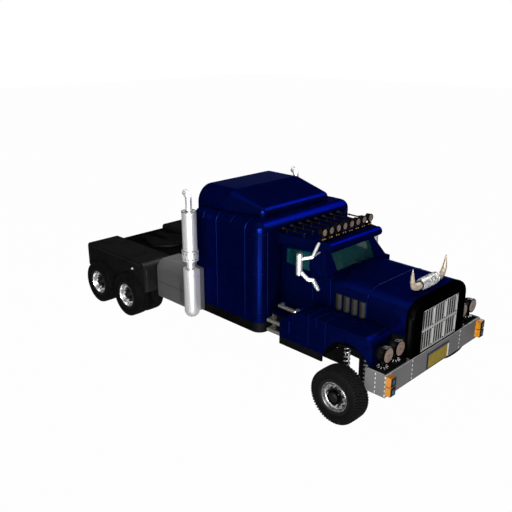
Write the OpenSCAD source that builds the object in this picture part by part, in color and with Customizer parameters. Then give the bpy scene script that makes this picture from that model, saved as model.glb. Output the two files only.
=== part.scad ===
// Conventional tractor truck with a sleeper and a tilting hood.
// Millimetres, +X forward, +Y the truck's left, +Z up, ground at Z = 0.
// Lengths along X count from the front axle; every node is shifted by front_axle_x.

/* [Layout] */
// Front axle ahead of the middle of the truck
front_axle_x = 3168; // [3000:10:3300]
// Front axle to the middle of the rear tandem
wheel_base = 6078; // [5950:10:6200]
// Distance between the two rear axles
tandem_pitch = 1056; // [1000:4:1120]
// Height of the frame rails' top
rail_top = 990; // [960:5:1020]
// Height of the frame rails
rail_height = 260; // [220:5:280]
// Outside of the frame rails from the centre line
rail_half = 430; // [400:5:450]

/* [Wheels] */
// Tyre outside radius
tyre_r = 450; // [430:2:460]
// Rim flange radius
rim_r = 270; // [255:1:285]
// Front tyre width
front_tyre_w = 320; // [280:5:330]
// Front tyre outer face from the centre line
front_face_y = 1629; // [1600:5:1650]
// Width of one rear tyre
rear_tyre_w = 308; // [280:2:315]
// Gap between twin tyres
twin_gap = 58; // [40:2:70]
// Rear tyre outer face from the centre line
rear_face_y = 1552; // [1530:2:1570]
// King pin from the centre line
kingpin_y = 1400; // [1390:5:1410]
// Turning clearance round shafts
shaft_gap = 0.5; // [0.3:0.1:1]

/* [Sleeper] */
// Half width of the sleeper
sleeper_half = 1240; // [1200:5:1260]
// Front face of the sleeper behind the front axle
sleeper_front = 1925; // [1900:5:1960]
// Length of the sleeper
sleeper_long = 1755; // [1700:5:1800]
// Top of the sleeper's body
sleeper_top = 2670; // [2600:5:2720]
// Top of the raised roof
roof_top = 3020; // [2950:5:3080]
// Corner radius of the sleeper
sleeper_r = 170; // [120:5:200]
// Wall thickness of the sleeper
sleeper_wall = 45; // [30:1:60]
// Lower edge of the sleeper's paint
sleeper_low = 880; // [850:5:900]

/* [Cab and hood] */
// Half width of the cab
cab_half = 820; // [800:5:830]
// Cab rear wall behind the front axle
cab_rear = 1815; // [1780:5:1850]
// Cowl behind the front axle
cowl_back = 745; // [730:5:780]
// Height of the window sill line
belt_z = 1950; // [1930:5:1965]
// Top of the cab walls
cab_top = 2300; // [2280:5:2330]
// Thickness of cab walls and doors
cab_wall = 45; // [35:1:55]
// Roof thickness
cab_roof_h = 155; // [130:5:170]
// Gap round doors and hood
panel_gap = 8; // [6:1:12]
// Top of the hood at the cowl
hood_top = 1960; // [1940:5:1970]
// Fall of the hood towards the front, degrees
hood_slope = 0.8; // [0:0.1:1.5]
// Radius of the hood's shoulders
hood_r = 210; // [150:5:260]
// Front of the radiator shell
shell_front = 764; // [755:1:775]

/* [Fenders] */
// Outer side of the front fenders
fender_half = 1339; // [1320:5:1350]
// Top of the front fenders
fender_top = 1460; // [1440:5:1475]
// Radius of the front wheel arch
arch_r = 464; // [455:1:490]
// Height of the arch's centre
arch_z = 790; // [770:5:820]
// Top of the rear fenders
rear_fender_top = 1232; // [1200:2:1260]
// Skin thickness of the fenders
skin = 30; // [20:1:40]

/* [Bumper and lamps] */
// Half width of the bumper
bumper_half = 1409; // [1390:2:1430]
// Front of the bumper
bumper_front = 757; // [745:1:765]
// Lower edge of the bumper
bumper_low = 677; // [650:1:700]
// Top of the bumper
bumper_top = 1042; // [1020:1:1050]
// Radius of the headlamps
lamp_r = 115; // [100:1:120]
// Number of roof lamps
roof_lamps = 8; // [4:1:10]
// Slats in one grille column
slats = 9; // [6:1:11]

/* [Exhaust and tanks] */
// Exhaust stack behind the front axle
stack_back = 3510; // [3480:5:3540]
// Muffler radius
muffler_r = 133; // [115:1:140]
// Top of the muffler
muffler_top = 2640; // [2600:5:2700]

/* [Hidden] */
$fn = 64;

blue = [0.05, 0.1, 0.42];
black = [0.06, 0.06, 0.07];
chrome = [0.85, 0.86, 0.88];
grey = [0.55, 0.56, 0.58];
glass = [0.35, 0.62, 0.64];

mid_x = tandem_pitch/2 - wheel_base;
rear_x = -tandem_pitch/2 - wheel_base;
sleeper_x1 = -sleeper_front;
sleeper_x0 = -sleeper_front - sleeper_long;
axle_z = tyre_r;
front_wheel_y = front_face_y - front_tyre_w/2;
twin_w = 2*rear_tyre_w + twin_gap;
rear_wheel_y = rear_face_y - twin_w/2;
seam_x = -45;
shell_back = shell_front - 114;
hood_half = cab_half - 10;
stack_y = sleeper_half + 188;
screen_back = cowl_back + 95;
cab_front_top = 1022;
cab_low = 1050;
pass_half = 350;
pass_low = 1160;
pass_top = 2180;
fender_x0 = -7160;
fender_x1 = -5060;
cab_top_half = cab_half - 180;
seat_y = 0.46*cab_half;

// Box between two corners
module box(a, b) {
  translate(a)
    cube(b - a);
}

// The same on both sides of the truck
module both() {
  children();
  mirror([0, 1, 0])
    children();
}

// Moves lengths counted from the front axle into the truck's frame
module placed() {
  translate([front_axle_x, 0, 0])
    children();
}

// Outline in X and Z, pulled along Y
module along_y(y0, y1) {
  translate([0, y1, 0])
    rotate([90, 0, 0])
      linear_extrude(y1 - y0)
        children();
}

// Outline in Y and Z, pulled along X
module along_x(x0, x1) {
  translate([x0, 0, 0])
    rotate([90, 0, 90])
      linear_extrude(x1 - x0)
        children();
}

// Round bar between two points
module rod(p, q, r) {
  d = q - p;
  long = norm(d);
  translate(p)
    rotate([0, acos(d[2]/long), atan2(d[1], d[0])])
      cylinder(h = long, r = r);
}

// Bent tube through a list of points
module tube(points, r) {
  for (i = [0:len(points) - 2])
    rod(points[i], points[i + 1], r);
  for (i = [1:len(points) - 2])
    translate(points[i])
      sphere(r + 1);
}

// Rectangle with all corners round
module round_rect(x0, x1, y0, y1, r) {
  translate([x0 + r, y0])
    square([x1 - x0 - 2*r, y1 - y0]);
  translate([x0, y0 + r])
    square([x1 - x0, y1 - y0 - 2*r]);
  for (x = [x0 + r, x1 - r], y = [y0 + r, y1 - r])
    translate([x, y])
      circle(r);
}

// Rectangle on a centre line with round top corners
module arch_rect(half, z0, z1, r) {
  translate([-half, z0])
    square([2*half, z1 - z0 - r]);
  translate([r - half, z0])
    square([2*(half - r), z1 - z0]);
  for (s = [-1, 1])
    translate([s*(half - r), z1 - r])
      circle(r);
}

// Ladder frame

module frame() {
  x0 = fender_x0 + skin;
  x1 = bumper_front - skin;
  web = 10;
  flange = 80;
  low = rail_top - rail_height;
  members = [-7060, -6078, -5000, -3900, -2600, -1600, 600];
  color(black) placed() {
    both() {
      box([x0, rail_half - web, low], [x1, rail_half, rail_top]);
      box([x0, rail_half - flange, low], [x1, rail_half, low + web]);
      box([x0, rail_half - flange, rail_top - web], [x1, rail_half, rail_top]);
    }
    for (x = members)
      box([x - 40, web - rail_half, low + 40], [x + 40, rail_half - web, rail_top - 40]);
    both()
      for (x = [-1700, -900])
        box([x - 60, rail_half - flange, rail_top], [x + 60, rail_half, cab_low]);
  }
}

// Flat deck behind the sleeper, on stands

module deck() {
  x0 = fender_x0 + 70;
  x1 = sleeper_x0 - 40;
  top = 1130;
  half = 665;
  color(black) placed() {
    box([x0, -half, top - 20], [x1, half, top]);
    for (x = [x0 + 100, -6500, -5850, -5300, -4600, x1 - 200])
      box([x - 30, -rail_half, rail_top], [x + 30, rail_half, top - 20]);
  }
}

// Coupling plate for a trailer's king pin

module coupling() {
  low = 1130;
  top = 1215;
  pin_r = 26;
  color([0.16, 0.16, 0.17]) placed() translate([-wheel_base, 0, 0]) {
    difference() {
      union() {
        translate([0, 0, top - 40])
          cylinder(h = 40, r = 450);
        box([-620, -300, top - 40], [0, 300, top]);
      }
      translate([0, 0, top - 60])
        cylinder(h = 80, r = pin_r);
      translate([0, 0, top - 60])
        linear_extrude(80)
          polygon([[0, -pin_r], [-700, -150], [-700, 150], [0, pin_r]]);
    }
    both()
      box([-90, 300, low], [90, 420, top - 40]);
  }
}

module engine() {
  color([0.3, 0.3, 0.31]) placed() {
    box([-650, -330, 760], [350, 330, 1600]);
    box([-1500, -250, 700], [-650, 250, 960]);
    box([-300, 10 - rail_half, 800], [-200, rail_half - 10, 900]);
    box([400, -480, rail_top], [500, 480, 1700]);
    box([350, -300, 780], [500, 300, 1000]);
  }
}

// Front axle beam, knuckles and springs

module front_axle() {
  eye_r = 55;
  color(black) placed() difference() {
    union() {
      box([-50, 40 - kingpin_y, axle_z - 50], [50, kingpin_y - 40, axle_z + 20]);
      both() {
        translate([0, kingpin_y, axle_z - 56])
          cylinder(h = 112, r = eye_r);
        box([-260, 1020, axle_z + 20], [260, 1090, axle_z + 60]);
      }
    }
    both()
      translate([0, kingpin_y, axle_z - 70])
        cylinder(h = 140, r = 25 + shaft_gap);
  }
}

module front_springs() {
  wire = 12;
  coil_r = 45;
  turns = 6;
  low = axle_z + 60;
  top = 1060;
  step = (top - 20 - low)/turns;
  color([0.75, 0.76, 0.78]) placed() both() {
    for (x = [-190, 190]) {
      translate([x, 1055, low])
        cylinder(h = top - 20 - low, r = 22);
      for (i = [0:turns - 1])
        translate([x, 1055, low + (i + 0.5)*step])
          rotate_extrude()
            translate([coil_r - wire - 14, 0])
              square([wire + 14, wire*2], center = true);
    }
    box([-270, rail_half, top - 20], [270, 1115, top]);
    box([-270, rail_half, rail_top - 160], [270, rail_half + 20, top - 20]);
  }
}

module knuckle() {
  fork = 62;
  arm_y = kingpin_y + 80;
  drum_y = front_wheel_y + 38;
  color(black) placed() {
    translate([0, -kingpin_y, axle_z - 110])
      cylinder(h = 220, r = 25);
    for (z = [axle_z - 110, axle_z + fork]) {
      translate([0, -kingpin_y, z])
        cylinder(h = 48, r = 48);
      box([-45, -arm_y, z], [45, -kingpin_y, z + 48]);
    }
    box([-60, -arm_y, axle_z - 110], [60, 15 - arm_y, axle_z + 110]);
    translate([0, 1 - arm_y, axle_z])
      rotate([90, 0, 0])
        cylinder(h = drum_y - arm_y + 1, r = 170);
    translate([0, 1 - arm_y, axle_z])
      rotate([90, 0, 0])
        cylinder(h = front_wheel_y + 90 - arm_y, r = 45);
  }
}

module knuckle_right() {
  knuckle();
}

module knuckle_left() {
  mirror([0, 1, 0])
    knuckle();
}

// Rear axles on walking beams

module rear_axles() {
  beam_y = 560;
  color(black) placed() {
    for (x = [mid_x, rear_x]) {
      translate([x, rear_wheel_y + 120, axle_z])
        rotate([90, 0, 0])
          cylinder(h = 2*rear_wheel_y + 240, r = 55);
      translate([x, 800, axle_z])
        rotate([90, 0, 0])
          cylinder(h = 1600, r = 105);
      translate([x, 0, axle_z])
        sphere(215);
    }
    both() {
      box([rear_x, beam_y - 50, axle_z + 80], [mid_x, beam_y + 50, axle_z + 180]);
      for (x = [mid_x, rear_x])
        box([x - 90, beam_y - 60, axle_z], [x + 90, beam_y + 60, axle_z + 180]);
      box([-wheel_base - 120, rail_half, axle_z + 180],
        [-wheel_base + 120, beam_y + 50, rail_top - 60]);
    }
  }
}

// Wheels: outboard is local +Z

module tyre_ring(w) {
  h = w/2;
  r = tyre_r;
  b = rim_r - 8;
  rotate_extrude($fn = 96)
    polygon([[b, -h*0.72], [b + 40, -h*0.92], [r*0.83, -h], [r*0.95, -h*0.93], [r - 6, -h*0.8],
      [r, -h*0.7], [r, h*0.7], [r - 6, h*0.8], [r*0.95, h*0.93], [r*0.83, h],
      [b + 40, h*0.92], [b, h*0.72]]);
}

// Rim barrel between two flanges
module barrel(w) {
  h = w*0.36;
  rotate_extrude($fn = 96)
    polygon([[rim_r - 22, -h - 12], [rim_r, -h - 12], [rim_r - 8, -h], [rim_r - 8, h],
      [rim_r, h + 12], [rim_r - 22, h + 12]]);
}

// Wheel disc with hand holes, hub and shaft bore
module disc(z, thick, hub_r, hub_z0, hub_z1, bore) {
  holes = 10;
  difference() {
    union() {
      translate([0, 0, z])
        cylinder(h = thick, r = rim_r - 15, $fn = 96);
      translate([0, 0, hub_z0])
        cylinder(h = hub_z1 - hub_z0, r = hub_r);
    }
    for (i = [0:holes - 1])
      rotate([0, 0, i*360/holes])
        translate([rim_r*0.68, 0, z - 1])
          cylinder(h = thick + 2, r = 26);
    translate([0, 0, hub_z0 - 1])
      cylinder(h = hub_z1 - hub_z0 - 24, r = bore + shaft_gap);
  }
}

module front_wheel() {
  barrel(front_tyre_w);
  disc(62, 24, 110, 50, 150, 45);
}

module twin_wheel() {
  off = (rear_tyre_w + twin_gap)/2;
  for (s = [-1, 1])
    translate([0, 0, s*off])
      barrel(rear_tyre_w);
  disc(-14, 28, 120, -60, 190, 55);
  ring = off - rear_tyre_w*0.36 + 6;
  translate([0, 0, -ring])
    difference() {
      cylinder(h = 2*ring, r = rim_r - 8, $fn = 96);
      translate([0, 0, -1])
        cylinder(h = 2*ring + 2, r = rim_r - 22, $fn = 96);
    }
}

module twin_tyres() {
  off = (rear_tyre_w + twin_gap)/2;
  for (s = [-1, 1])
    translate([0, 0, s*off])
      tyre_ring(rear_tyre_w);
}

// Puts a wheel on its axle; side is -1 on the right, 1 on the left
module on_axle(x, y, side) {
  placed()
    translate([x, side*y, axle_z])
      rotate([-side*90, 0, 0])
        children();
}

module wheel_front_right() {
  color(chrome) on_axle(0, front_wheel_y, -1) front_wheel();
}

module wheel_front_left() {
  color(chrome) on_axle(0, front_wheel_y, 1) front_wheel();
}

module tyre_front_right() {
  color(black) on_axle(0, front_wheel_y, -1) tyre_ring(front_tyre_w);
}

module tyre_front_left() {
  color(black) on_axle(0, front_wheel_y, 1) tyre_ring(front_tyre_w);
}

module wheel_mid_right() {
  color(chrome) on_axle(mid_x, rear_wheel_y, -1) twin_wheel();
}

module wheel_mid_left() {
  color(chrome) on_axle(mid_x, rear_wheel_y, 1) twin_wheel();
}

module tyre_mid_right() {
  color(black) on_axle(mid_x, rear_wheel_y, -1) twin_tyres();
}

module tyre_mid_left() {
  color(black) on_axle(mid_x, rear_wheel_y, 1) twin_tyres();
}

module wheel_rear_right() {
  color(chrome) on_axle(rear_x, rear_wheel_y, -1) twin_wheel();
}

module wheel_rear_left() {
  color(chrome) on_axle(rear_x, rear_wheel_y, 1) twin_wheel();
}

module tyre_rear_right() {
  color(black) on_axle(rear_x, rear_wheel_y, -1) twin_tyres();
}

module tyre_rear_left() {
  color(black) on_axle(rear_x, rear_wheel_y, 1) twin_tyres();
}

// Tanks and exhaust

module fuel_tanks() {
  x0 = -4800;
  x1 = -3760;
  y1 = sleeper_half + 10;
  z0 = 560;
  z1 = 1350;
  color(grey) placed() both() difference() {
    union() {
      along_x(x0, x1) translate([rail_half + (y1 - rail_half)/2, 0])
        arch_rect((y1 - rail_half)/2, z0 + 120, z1, 200);
      along_x(x0, x1)
        round_rect(rail_half, y1, z0, z1 - 300, 60);
    }
    box([x0 - 1, 0, 1100], [x1 + 1, 680, z1 + 1]);
  }
}

module stacks() {
  r = 58;
  can_r = 140;
  can_low = 740;
  can_top = 1560;
  bend = 120;
  neck_top = 1724;
  collar_top = 1909;
  pipe_top = 2850;
  color(chrome) placed() both() translate([-stack_back, stack_y, 0]) {
    translate([0, 0, can_low])
      cylinder(h = can_top - can_low, r = can_r);
    translate([0, 0, can_low])
      sphere(can_r);
    box([-can_r, sleeper_half - stack_y, can_low], [can_r, 0, can_top]);
    translate([0, 0, can_top])
      cylinder(h = neck_top - can_top, r = 72);
    translate([0, 0, neck_top])
      cylinder(h = collar_top - neck_top, r = muffler_r + 22);
    translate([0, 0, collar_top])
      cylinder(h = muffler_top - collar_top, r = muffler_r);
    translate([0, 0, muffler_top])
      cylinder(h = pipe_top - muffler_top, r = r);
    translate([-bend, 0, pipe_top])
      rotate([90, 0, 0])
        rotate_extrude(angle = 80)
          translate([bend, 0])
            circle(r);
  }
}

// Rear fenders: boxes with rounded ends, open below

module fender_box(x0, x1, z0, z1, r) {
  translate([x0 + r, z0])
    square([x1 - x0 - 2*r, z1 - z0]);
  translate([x0, z0])
    square([x1 - x0, z1 - z0 - r]);
  for (x = [x0 + r, x1 - r])
    translate([x, z1 - r])
      circle(r);
}

module rear_fenders() {
  x0 = fender_x0;
  x1 = fender_x1;
  y0 = 675;
  y1 = rear_face_y - 158;
  r = 110;
  skirt = 700;
  front_low = 600;
  color(black) placed() both() {
    difference() {
      union() {
        along_y(y0, y1)
          fender_box(x0, x1, skirt, rear_fender_top, r);
        box([x1 - skin, y0, front_low], [x1, y1, skirt + 1]);
      }
      along_y(y0 + skin, y1 - skin)
        fender_box(x0 + skin, x1 - skin, skirt - 1, rear_fender_top - skin, r - skin);
      along_y(y0 - 1, y1 + 1)
        for (x = [mid_x, rear_x])
          translate([x, axle_z])
            circle(tyre_r + 30);
    }
    box([x1 - skin + 5, rail_half, 760], [x1 - 5, y0 + 20, 1000]);
    box([x0 + 5, rail_half - 80, 980], [x0 + skin - 5, y0 + 20, 1080]);
    box([-wheel_base - 30, rail_half, 935], [30 - wheel_base, y1 - skin/2, 990]);
    box([-wheel_base - 15, y0 + 20, 980],
      [15 - wheel_base, y1 - skin/2, rear_fender_top - skin/2]);
  }
}

// Turn signals on the bumper and tail lamps on the rear fenders

module marker_lamps() {
  wide = 127;
  high = 140;
  front = 844;
  y0 = bumper_half - 131;
  color([0.95, 0.55, 0.08]) placed() both() {
    for (z = [722, 878])
      box([bumper_front, y0, z], [front, y0 + wide, z + high]);
    box([fender_x0 - 20, 1150, 1040], [fender_x0, 1340, 1110]);
  }
}

// Sleeper: hollow body with round corners and a raised roof

module sleeper_form(g, z0) {
  r = sleeper_r;
  hull()
    for (x = [sleeper_x0 + r, sleeper_x1 - r], y = [-1, 1]) {
      translate([x, y*(sleeper_half - r), z0])
        cylinder(h = 10, r = r - g, $fn = 32);
      translate([x, y*(sleeper_half - r), sleeper_top - r])
        sphere(r - g, $fn = 32);
    }
}

module sleeper() {
  x0 = sleeper_x0 + sleeper_wall;
  x1 = sleeper_x1 - sleeper_wall;
  half = sleeper_half - sleeper_wall;
  tunnel = rail_half + 20;
  color(blue) placed() difference() {
    sleeper_form(0, sleeper_low);
    sleeper_form(sleeper_wall, rail_top + sleeper_wall);
    translate([0, 0, sleeper_low - 1])
      linear_extrude(rail_top - sleeper_low + 1)
        round_rect(x0, x1, -half, half, sleeper_r - sleeper_wall);
    box([sleeper_x0 - 1, -tunnel, sleeper_low - 1], [sleeper_x1 + 1, tunnel, rail_top]);
    box([x1 - 1, -pass_half, pass_low], [sleeper_x1 + 1, pass_half, pass_top]);
    box([sleeper_x0 + 250, 440 - sleeper_half, sleeper_top - 100],
      [-2450, sleeper_half - 440, sleeper_top + 1]);
  }
}

module roof_form(g, z0) {
  r = 310;
  nose_r = 100;
  half = sleeper_half - 180;
  nose_half = sleeper_half - 340;
  ridge_x = -2970;
  nose_x = -2190;
  nose_top = 2830;
  hull() {
    for (s = [-1, 1]) {
      translate([sleeper_x0 + g, s*(half - r), roof_top - r])
        rotate([0, 90, 0])
          cylinder(h = ridge_x - sleeper_x0 - g, r = r - g, $fn = 48);
      translate([nose_x - nose_r, s*(nose_half - nose_r), nose_top - nose_r])
        sphere(nose_r - g, $fn = 32);
      translate([nose_x - nose_r, s*(nose_half - nose_r), z0])
        cylinder(h = 10, r = nose_r - g, $fn = 32);
    }
    box([sleeper_x0 + g, g - half, z0], [ridge_x, half - g, z0 + 10]);
  }
}

module sleeper_roof() {
  color(blue) placed() difference() {
    roof_form(0, sleeper_top - 60);
    roof_form(sleeper_wall, sleeper_top - 70);
    sleeper_form(0, sleeper_low);
  }
}

// Bellows between cab and sleeper

module cab_boot() {
  rim = 60;
  color(black) placed() difference() {
    box([sleeper_x1, -pass_half - rim, pass_low - rim], [-cab_rear, pass_half + rim, pass_top + rim]);
    box([sleeper_x1 - 1, -pass_half, pass_low], [1 - cab_rear, pass_half, pass_top]);
  }
}

// Black sills below the paint

module sills() {
  low = 700;
  t = 45;
  r = sleeper_r;
  color(black) placed() {
    difference() {
      translate([0, 0, low])
        linear_extrude(sleeper_low - low)
          difference() {
            round_rect(sleeper_x0, sleeper_x1, -sleeper_half, sleeper_half, r);
            round_rect(sleeper_x0 + t, sleeper_x1 - t, t - sleeper_half, sleeper_half - t, r - t);
          }
      box([sleeper_x0 - 1, -rail_half - 20, rail_top - rail_height],
        [sleeper_x1 + 1, rail_half + 20, sleeper_low + 1]);
    }
    for (x = [-3500, -2500])
      box([x - 40, t - sleeper_half, rail_top - rail_height - 20],
        [x + 40, sleeper_half - t, rail_top - rail_height]);
    both()
      box([-1370, fender_half - skin, 770], [-470, fender_half, 900]);
  }
}

// Cab body: upright walls below the belt line, a tapered greenhouse above

module cab_form(g) {
  box([g - cab_rear, g - cab_half, cab_low + g], [-cowl_back - g, cab_half - g, belt_z - g]);
  hull() {
    translate([0, 0, belt_z - g - 1])
      linear_extrude(1)
        polygon([[g - cab_rear, g - cab_half], [-screen_back - g, g - cab_half],
          [-screen_back - g, cab_half - g], [g - cab_rear, cab_half - g]]);
    translate([0, 0, cab_top - 1])
      linear_extrude(1)
        polygon([[g - cab_rear, g - cab_half + 20], [-cab_front_top - g, g - cab_top_half],
          [-cab_front_top - g, cab_top_half - g], [g - cab_rear, cab_half - 20 - g]]);
  }
}

module cab_walls() {
  difference() {
    cab_form(0);
    cab_form(cab_wall);
    box([cab_wall - cab_rear, 220 - cab_half, cab_top - cab_wall - 2],
      [-cab_front_top - 90, cab_half - 220, cab_top + 1]);
  }
}

// Door hinges: heights, pin and barrel
hinge_zs = [1580, 1860];
door_hinge = [-939, cab_half + 8];
door_pin_r = 8;
barrel_r = 14;

// Door outline; g shrinks it
module door_outline(g) {
  front = -935 - g;
  rear = -1760 + g;
  top = cab_top - 12 - g;
  polygon([[front, 1474 + g], [front, belt_z], [-1095 - g, top], [rear, top], [rear, 1272 + g]]);
}

module side_window() {
  polygon([[-1190, belt_z - 12], [-1235, cab_top - 62], [-1720, cab_top - 62],
    [-1720, belt_z + 20]]);
}

// Slope of the windscreen
function screen_x(z) = -screen_back - (cab_front_top - screen_back)*(z - belt_z)/(cab_top - belt_z);

module screen_outline() {
  half = cab_half - 290;
  translate([-half, belt_z + 6])
    square([2*half, cab_top - belt_z - 68]);
}

module cab() {
  ear = 12;
  color(blue) placed() {
    difference() {
      cab_walls();
      both() {
        along_y(cab_half - 320, cab_half + 80)
          door_outline(0);
        for (z = hinge_zs)
          translate([door_hinge[0], door_hinge[1], z - 30])
            cylinder(h = 60, r = barrel_r + 6);
      }
      along_x(-cab_front_top - 120, -cowl_back)
        screen_outline();
      box([-cab_rear - 1, -pass_half, pass_low], [cab_wall - cab_rear + 1, pass_half, pass_top]);
    }
    both()
      for (z = hinge_zs) {
        translate([door_hinge[0], door_hinge[1], z - 30 - ear])
          cylinder(h = 60 + 2*ear, r = door_pin_r);
        for (z0 = [z - 30 - ear, z + 30])
          box([door_hinge[0], cab_half - 10, z0],
            [door_hinge[0] + 30, door_hinge[1] + door_pin_r, z0 + ear]);
      }
  }
}

module windscreen() {
  z0 = belt_z - 20;
  z1 = cab_top;
  color(glass) placed() intersection() {
    along_x(-cab_front_top - 120, -cowl_back)
      screen_outline();
    along_y(120 - cab_half, cab_half - 120)
      polygon([[screen_x(z0) - 30, z0], [screen_x(z0) - 22, z0],
        [screen_x(z1) - 22, z1], [screen_x(z1) - 30, z1]]);
  }
}

module cab_roof() {
  nose_r = cab_roof_h/2;
  nose_x = -930;
  rear_half = cab_half + 40;
  nose_half = cab_half - 140;
  color(blue) placed() {
    translate([0, 0, cab_top])
      linear_extrude(cab_roof_h)
        polygon([[-1900, -rear_half], [nose_x, -nose_half], [nose_x, nose_half], [-1900, rear_half]]);
    translate([nose_x, nose_half + 20, cab_top + nose_r])
      rotate([90, 0, 0])
        cylinder(h = 2*nose_half + 40, r = nose_r);
  }
}

module dash() {
  color([0.45, 0.46, 0.48]) placed() {
    along_y(cab_wall - cab_half, cab_half - cab_wall)
      polygon([[-cowl_back - cab_wall, 1500], [-cowl_back - cab_wall, 1880], [-1000, 1860],
        [-1080, 1700], [-1020, 1500]]);
    rod([-1010, seat_y, 1650], [-1170, seat_y, 1745], 30);
    translate([-1170, seat_y, 1745])
      rotate([0, -60, 0]) {
        rotate_extrude()
          translate([215, 0])
            circle(16);
        cylinder(h = 30, r = 55);
        for (a = [90, 210, 330])
          rotate([0, 0, a])
            translate([30, -15, 0])
              cube([180, 30, 12]);
      }
  }
}

module seats() {
  floor_z = cab_low + cab_wall;
  color([0.72, 0.6, 0.45]) placed() both() translate([0, seat_y, 0]) {
    box([-1660, -220, floor_z], [-1260, 220, floor_z + 210]);
    box([-1700, -250, floor_z + 200], [-1200, 250, floor_z + 330]);
    translate([-1670, 0, floor_z + 300])
      rotate([0, -8, 0]) {
        box([0, -240, 0], [120, 240, 580]);
        box([20, -120, 560], [100, 120, 780]);
      }
  }
}

// Front fenders with running boards

module fender_outline(g) {
  front = 450 - g;
  rear = g - 1370;
  top = fender_top - g;
  round_r = 150;
  fall_r = 750;
  difference() {
    union() {
      translate([-750, 900])
        square([front - round_r + 750, top - 900]);
      translate([-750, 900])
        square([front + 750, top - round_r - 900]);
      translate([front - round_r, top - round_r])
        circle(round_r);
      intersection() {
        translate([-750, top - fall_r])
          circle(fall_r);
        translate([rear, 900])
          square([-740 - rear, 700]);
      }
    }
    translate([11, arch_z])
      circle(arch_r + g);
  }
}

module front_fenders() {
  in_y = cab_half + 12;
  color(blue) placed() both() {
    difference() {
      along_y(in_y, fender_half)
        fender_outline(0);
      along_y(in_y - 1, fender_half - skin)
        fender_outline(skin);
      box([-1370 + skin, in_y - 1, 880], [-440, fender_half - skin, 940]);
    }
    box([-1900, in_y, 1070], [-1369, fender_half - 300, 1100]);
    box([-1900, cab_half, 1075], [-900, in_y, 1095]);
  }
}

module steps() {
  r = 35;
  in_y = fender_half - 379;
  out_y = fender_half - 239;
  rail_y = cab_half + 85;
  color(chrome) placed() both() {
    for (z = [785, 960])
      tube([[-1845, in_y, z], [-1845, out_y, z], [-1440, out_y, z], [-1440, in_y, z]], r);
    for (x = [-1845, -1440])
      box([x - 25, in_y - 30, 740], [x + 25, in_y + 25, 1070]);
    tube([[-1765, cab_half, 1190], [-1765, rail_y, 1190], [-1410, rail_y, 1180],
      [-1410, cab_half, 1180]], r);
  }
}

// Hood in two parts: a fixed louvred rear and the tilting front

module hood_section(g, low, top) {
  flat = 450;
  fall_r = 602;
  intersection() {
    arch_rect(hood_half - g, low, top - g, hood_r - g);
    union() {
      translate([-flat, low])
        square([2*flat, top - g - low]);
      for (s = [-1, 1])
        translate([s*flat, top - fall_r])
          circle(fall_r - g);
      translate([-hood_half, low])
        square([2*hood_half, top - fall_r - low]);
    }
  }
}

// Hood solid, falling towards the front
module hood_solid(g) {
  translate([-cowl_back, 0, hood_top])
    rotate([0, hood_slope, 0])
      translate([cowl_back, 0, -hood_top])
        along_x(-cowl_back - 60, shell_front)
          hood_section(g, 1300, hood_top);
}

// Hood skin between two stations
module hood_skin(x0, x1) {
  intersection() {
    box([x0, -hood_half - 10, 1400], [x1, hood_half + 10, hood_top + 50]);
    difference() {
      hood_solid(0);
      hood_solid(skin);
    }
  }
}

module hood_rear() {
  color(blue) placed()
    hood_skin(-cowl_back, seam_x);
}

module louvres() {
  color([0.1, 0.09, 0.08]) placed() both()
    for (i = [0:3])
      intersection() {
        translate([-580 + i*152, hood_half - 20, 1500]) {
          cylinder(h = 230, r = 62);
          sphere(62);
        }
        box([-800, hood_half, fender_top + 5], [0, hood_half + 100, hood_top - hood_r]);
      }
}

module hood() {
  color(blue) placed()
    hood_skin(seam_x + panel_gap, shell_back);
}

hinge_x = 742;
hinge_z = 1075;
hinge_r = 12;
grille_half = hood_half - 288;
hood_front = hood_top - (shell_back + cowl_back)*tan(hood_slope);
grille_top = 1754;
shell_low = 1062;

module radiator_shell() {
  // station from the front and inset of the rounded front edge
  rim = [[shell_front - shell_back, 6], [70, 6], [30, 16], [8, 34], [1, 58]];
  color(black) placed() {
    difference() {
      hull()
        for (p = rim)
          along_x(shell_front - p[0], shell_front - p[0] + 1)
            arch_rect(hood_half - p[1], shell_low, hood_front - p[1], hood_r + 60 - p[1], $fn = 48);
      along_x(shell_back - 1, shell_front + 1)
        translate([-grille_half, shell_low + 20])
          square([2*grille_half, grille_top - shell_low - 20]);
    }
    both()
      rod([hinge_x, hood_half - 60, hinge_z], [hinge_x, hood_half + 40, hinge_z], hinge_r);
  }
}

module grille() {
  low = shell_low + 20;
  bar = 26;
  half = grille_half;
  mid = (low + grille_top)/2;
  pitch = 2*half/3;
  color(chrome) placed() {
    along_x(shell_front - 50, shell_front - 4)
      difference() {
        translate([-half, low])
          square([2*half, grille_top - low]);
        for (c = [0:2], z = [low, mid])
          translate([c*pitch - half + bar/2, z + bar/2])
            square([pitch - bar, (grille_top - low)/2 - bar]);
      }
    for (c = [0:2], i = [1:slats])
      box([shell_front - 48, c*pitch - half + i*pitch/(slats + 1) - 8, low + 2],
        [shell_front - 22, c*pitch - half + i*pitch/(slats + 1) + 8, grille_top - 2]);
  }
}

// Chrome horn holder and a pair of bull horns on the hood

module hood_ornament() {
  x = 500;
  z = hood_top + 73;
  r = 76;
  ribs = 4;
  color(chrome) placed() difference() {
    union() {
      translate([x, 240, z])
        rotate([90, 0, 0])
          cylinder(h = 480, r = r);
      for (i = [-ribs:ribs])
        translate([x, i*50 + 12, z])
          rotate([90, 0, 0])
            cylinder(h = 24, r = r + 9);
      box([x - 45, -200, hood_top - 60], [x + 45, 200, z]);
    }
    hood_solid(0);
  }
}

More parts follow.
